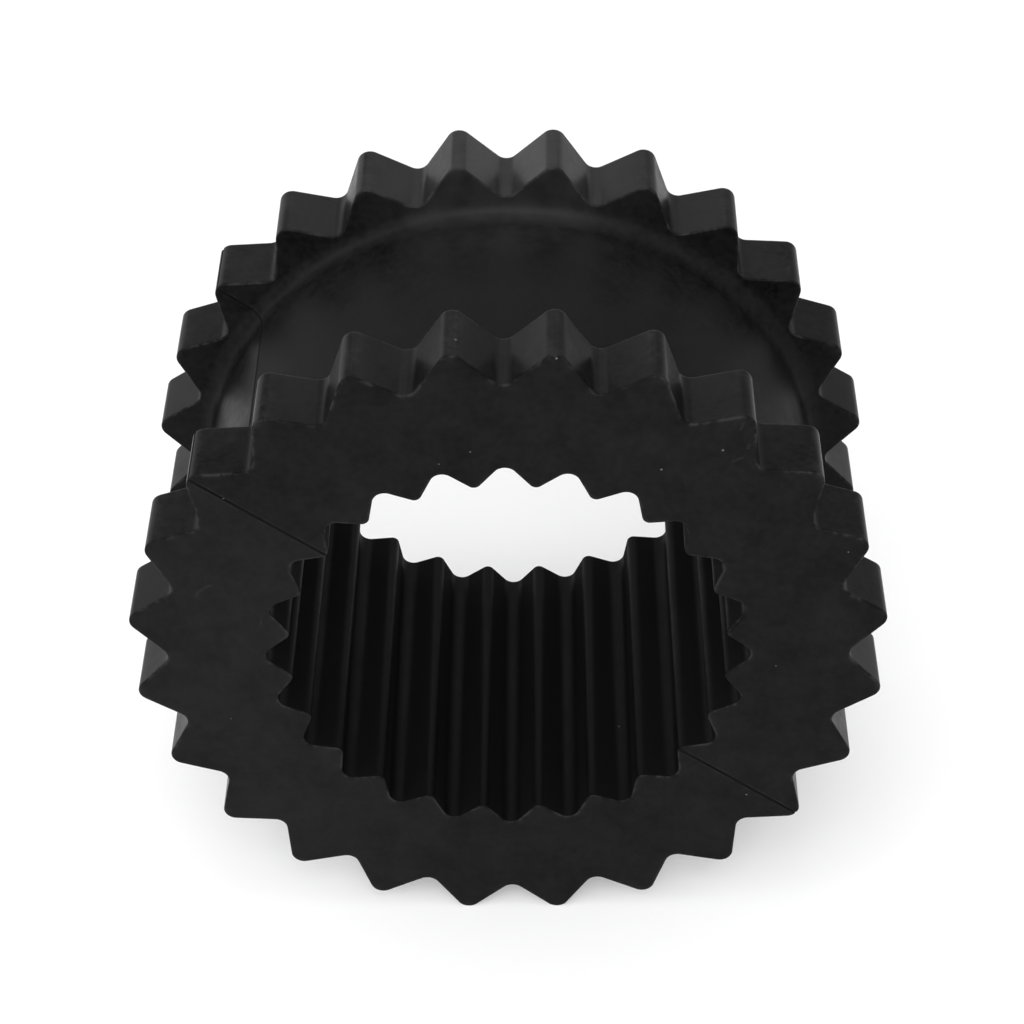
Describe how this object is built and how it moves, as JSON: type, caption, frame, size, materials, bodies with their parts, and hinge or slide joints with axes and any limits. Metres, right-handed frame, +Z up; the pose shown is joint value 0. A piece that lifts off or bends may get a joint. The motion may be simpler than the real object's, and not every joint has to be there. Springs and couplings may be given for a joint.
{
  "type": "drive coupling sleeve",
  "caption": "One-piece black rubber sleeve of a drive coupling: a toothed ring at each end, a plain waist between them and a toothed bore through.",
  "frame": {"origin": "middle of the sleeve's axis, halfway between the two end faces", "axes": "+Y along the sleeve's axis, away from the end face that faces the viewer; +Z up as the sleeve lies on its outer teeth, with a tooth gap straight down and straight up; +X to the right seen from the front end"},
  "size_m": [0.124, 0.063, 0.124],
  "materials": {
    "moulded_rubber": "satin black moulded rubber"
  },
  "bodies": {
    "root": {"sleeve": "moulded_rubber"}
  },
  "joints": []
}
